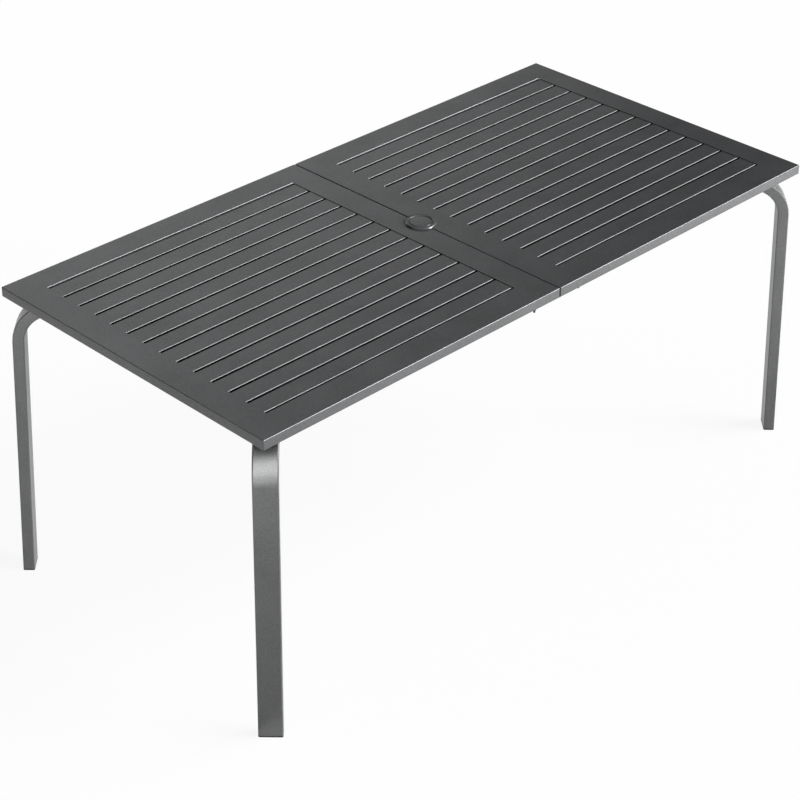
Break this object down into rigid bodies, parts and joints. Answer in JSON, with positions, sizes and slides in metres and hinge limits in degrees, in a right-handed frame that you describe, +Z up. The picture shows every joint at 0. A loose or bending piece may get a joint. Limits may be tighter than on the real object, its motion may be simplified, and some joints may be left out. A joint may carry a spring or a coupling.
{
  "type": "folding picnic table",
  "caption": "Long slatted metal table in two panels with an umbrella ring at the seam; bent flat-tube legs fold flat under the top.",
  "frame": {"origin": "on the floor under the middle of the table", "axes": "+X along the long side, +Y along the short side, +Z up"},
  "size_m": [1.796, 0.9, 0.755],
  "materials": {
    "top_powder_coat": "fine-textured dark grey powder coat on sheet steel, satin",
    "leg_powder_coat": "fine-textured dark grey powder coat on steel tube, satin",
    "grey_plastic": "dark grey moulded plastic, matched to the paint",
    "black_plastic": "black moulded plastic, matt",
    "black_rubber": "black rubber strip",
    "black_zinc": "black zinc plated steel fastener"
  },
  "bodies": {
    "top": {"left_panel": "top_powder_coat", "left_slat_01": "top_powder_coat", "left_slat_02": "top_powder_coat", "left_slat_03": "top_powder_coat", "left_slat_04": "top_powder_coat", "left_slat_05": "top_powder_coat", "left_slat_06": "top_powder_coat", "left_slat_07": "top_powder_coat", "left_slat_08": "top_powder_coat", "left_slat_09": "top_powder_coat", "left_slat_10": "top_powder_coat", "left_slat_11": "top_powder_coat", "left_slat_12": "top_powder_coat", "left_slat_13": "top_powder_coat", "left_batten": "top_powder_coat", "left_leg_plate": "top_powder_coat", "left_bearing_strip": "black_rubber", "right_panel": "top_powder_coat", "right_slat_01": "top_powder_coat", "right_slat_02": "top_powder_coat", "right_slat_03": "top_powder_coat", "right_slat_04": "top_powder_coat", "right_slat_05": "top_powder_coat", "right_slat_06": "top_powder_coat", "right_slat_07": "top_powder_coat", "right_slat_08": "top_powder_coat", "right_slat_09": "top_powder_coat", "right_slat_10": "top_powder_coat", "right_slat_11": "top_powder_coat", "right_slat_12": "top_powder_coat", "right_slat_13": "top_powder_coat", "right_batten": "top_powder_coat", "right_leg_plate": "top_powder_coat", "right_bearing_strip": "black_rubber", "front_splice_plate": "top_powder_coat", "back_splice_plate": "top_powder_coat", "left_front_splice_bolt": "black_zinc", "left_front_bracket": "leg_powder_coat", "left_back_splice_bolt": "black_zinc", "left_back_bracket": "leg_powder_coat", "right_front_splice_bolt": "black_zinc", "right_front_bracket": "leg_powder_coat", "right_back_splice_bolt": "black_zinc", "right_back_bracket": "leg_powder_coat", "umbrella_ring": "grey_plastic"},
    "left_leg_frame": {"left_cross_tube": "leg_powder_coat", "left_front_leg": "leg_powder_coat", "left_front_glide": "black_plastic", "left_back_leg": "leg_powder_coat", "left_back_glide": "black_plastic"},
    "right_leg_frame": {"right_cross_tube": "leg_powder_coat", "right_front_leg": "leg_powder_coat", "right_front_glide": "black_plastic", "right_back_leg": "leg_powder_coat", "right_back_glide": "black_plastic"},
    "left_front_knob": {"left_front_knob": "black_plastic"},
    "left_back_knob": {"left_back_knob": "black_plastic"},
    "right_front_knob": {"right_front_knob": "black_plastic"},
    "right_back_knob": {"right_back_knob": "black_plastic"},
    "umbrella_cap": {"umbrella_cap": "grey_plastic"}
  },
  "joints": [
    {"name": "left_legs_fold", "type": "hinge", "parent": "top", "child": "left_leg_frame", "pos_m": [-0.743, 0, 0.7065], "axis": [0, -1, 0], "range_deg": [0, 95]},
    {"name": "right_legs_fold", "type": "hinge", "parent": "top", "child": "right_leg_frame", "pos_m": [0.743, 0, 0.7065], "axis": [0, 1, 0], "range_deg": [0, 95]},
    {"name": "left_front_knob_turn", "type": "hinge", "parent": "top", "child": "left_front_knob", "pos_m": [-0.707, -0.23, 0.6965], "axis": [0, 0, 1], "range_deg": [0, 180]},
    {"name": "left_back_knob_turn", "type": "hinge", "parent": "top", "child": "left_back_knob", "pos_m": [-0.707, 0.23, 0.6965], "axis": [0, 0, 1], "range_deg": [0, 180]},
    {"name": "right_front_knob_turn", "type": "hinge", "parent": "top", "child": "right_front_knob", "pos_m": [0.707, -0.23, 0.6965], "axis": [0, 0, 1], "range_deg": [0, 180]},
    {"name": "right_back_knob_turn", "type": "hinge", "parent": "top", "child": "right_back_knob", "pos_m": [0.707, 0.23, 0.6965], "axis": [0, 0, 1], "range_deg": [0, 180]},
    {"name": "umbrella_cap_lift", "type": "slide", "parent": "top", "child": "umbrella_cap", "axis": [0, 0, 1], "range_m": [0, 0.05]}
  ]
}
